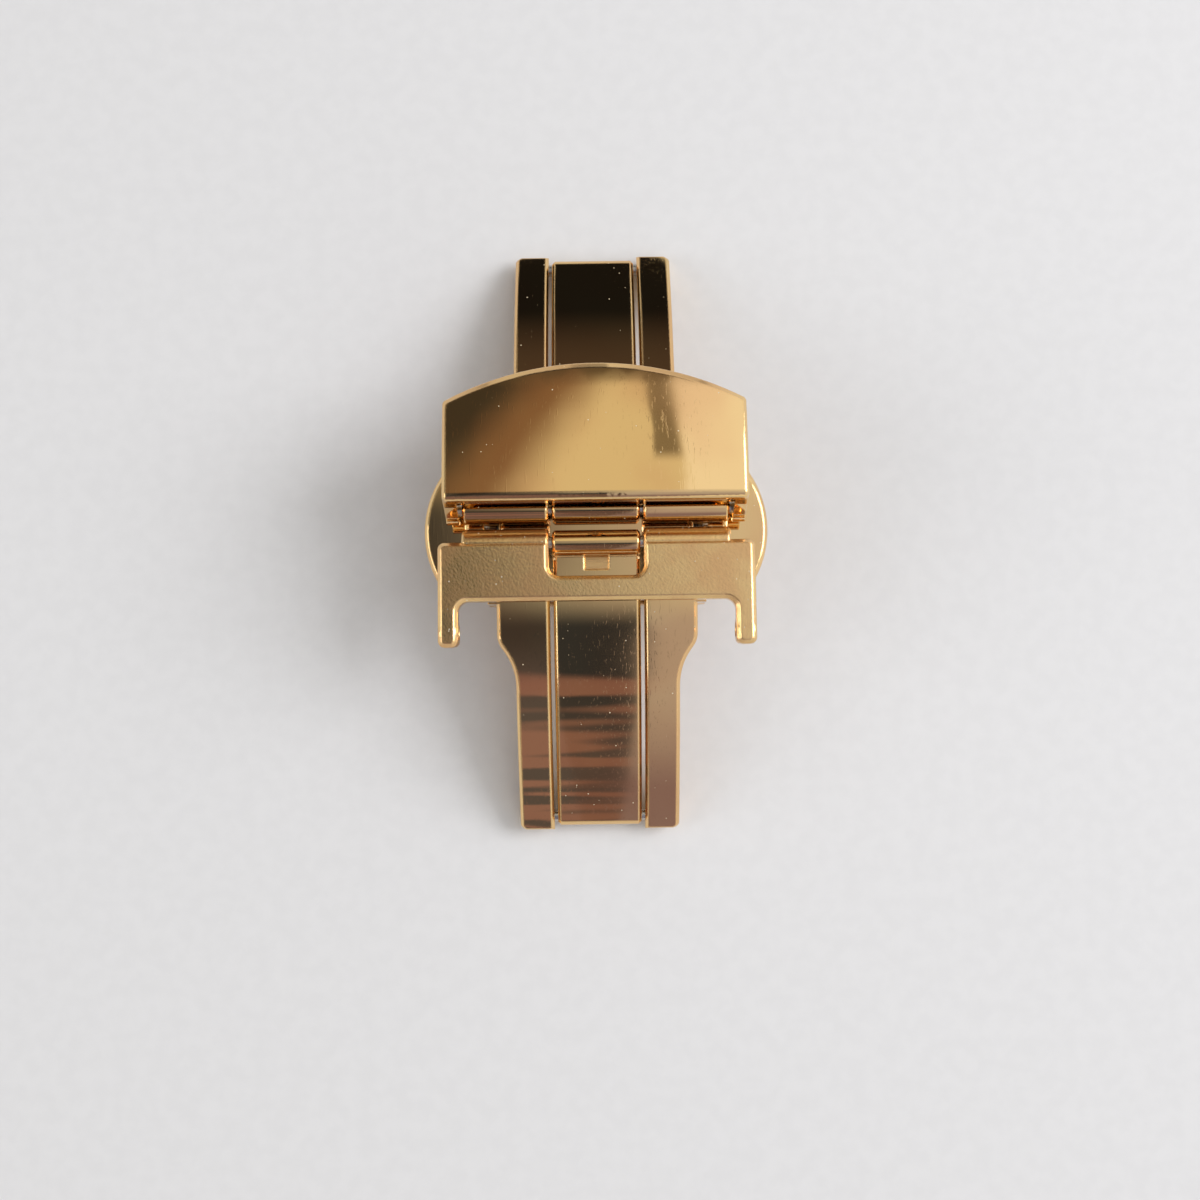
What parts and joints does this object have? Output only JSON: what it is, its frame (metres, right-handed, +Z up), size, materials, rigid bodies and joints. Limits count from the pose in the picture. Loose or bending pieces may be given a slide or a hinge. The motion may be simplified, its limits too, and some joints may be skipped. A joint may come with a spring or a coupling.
{
  "type": "butterfly watch clasp",
  "caption": "Double deployant watch strap clasp with an arched base, two folding wings, sprung side push buttons, a pronged strap fork and a crowned hinged cover.",
  "frame": {"origin": "on the surface that the arm ends stand on, under the middle of the closed clasp", "axes": "+X across the strap, +Y along the strap towards the cover side, +Z up, away from the wrist"},
  "size_m": [0.023, 0.0402, 0.0113],
  "materials": {
    "polished_gold": "mirror polished yellow gold plating on steel",
    "brushed_gold": "fine brushed yellow gold plating on steel",
    "satin_gold": "satin yellow gold plating on steel",
    "bare_steel": "bare stainless steel, turned"
  },
  "bodies": {
    "base": {"base_plate": "polished_gold", "near_guide_rail": "brushed_gold", "far_guide_rail": "brushed_gold", "back_cover": "brushed_gold", "back_cover_screws": "bare_steel", "spring_tube": "polished_gold", "near_end_pin": "bare_steel", "far_end_pin": "bare_steel"},
    "near_wing": {"near_wing": "polished_gold", "near_catch": "brushed_gold"},
    "far_wing": {"far_wing": "polished_gold", "far_catch": "brushed_gold"},
    "strap_fork": {"strap_fork": "satin_gold", "strap_fork_pin": "bare_steel"},
    "tray": {"strap_tray": "brushed_gold", "strap_peg": "polished_gold", "cover_hinge_pin": "bare_steel"},
    "cover": {"cover_plate": "polished_gold", "left_cover_clip": "polished_gold", "right_cover_clip": "polished_gold"},
    "left_pusher": {"left_pusher": "polished_gold", "left_latch": "brushed_gold", "left_plunger": "bare_steel"},
    "right_pusher": {"right_pusher": "polished_gold", "right_latch": "brushed_gold", "right_plunger": "bare_steel"}
  },
  "joints": [
    {"name": "near_wing_hinge", "type": "hinge", "parent": "base", "child": "near_wing", "pos_m": [0, -0.0192, 0.00098], "axis": [1, 0, 0], "range_deg": [0, 150]},
    {"name": "far_wing_hinge", "type": "hinge", "parent": "base", "child": "far_wing", "pos_m": [0, 0.0192, 0.00098], "axis": [-1, 0, 0], "range_deg": [0, 150]},
    {"name": "strap_fork_hinge", "type": "hinge", "parent": "near_wing", "child": "strap_fork", "pos_m": [0, -0.0011, 0.00763], "axis": [-1, 0, 0], "range_deg": [0, 15]},
    {"name": "tray_hinge", "type": "hinge", "parent": "far_wing", "child": "tray", "pos_m": [0, 0.0011, 0.00763], "axis": [1, 0, 0], "range_deg": [0, 12]},
    {"name": "cover_hinge", "type": "hinge", "parent": "tray", "child": "cover", "pos_m": [0, 0.0011, 0.00763], "axis": [1, 0, 0], "range_deg": [0, 45]},
    {"name": "left_pusher_slide", "type": "slide", "parent": "base", "child": "left_pusher", "axis": [1, 0, 0], "range_m": [0, 0.0008], "stiffness_N_per_m": 400},
    {"name": "right_pusher_slide", "type": "slide", "parent": "base", "child": "right_pusher", "axis": [-1, 0, 0], "range_m": [0, 0.0008], "stiffness_N_per_m": 400}
  ]
}
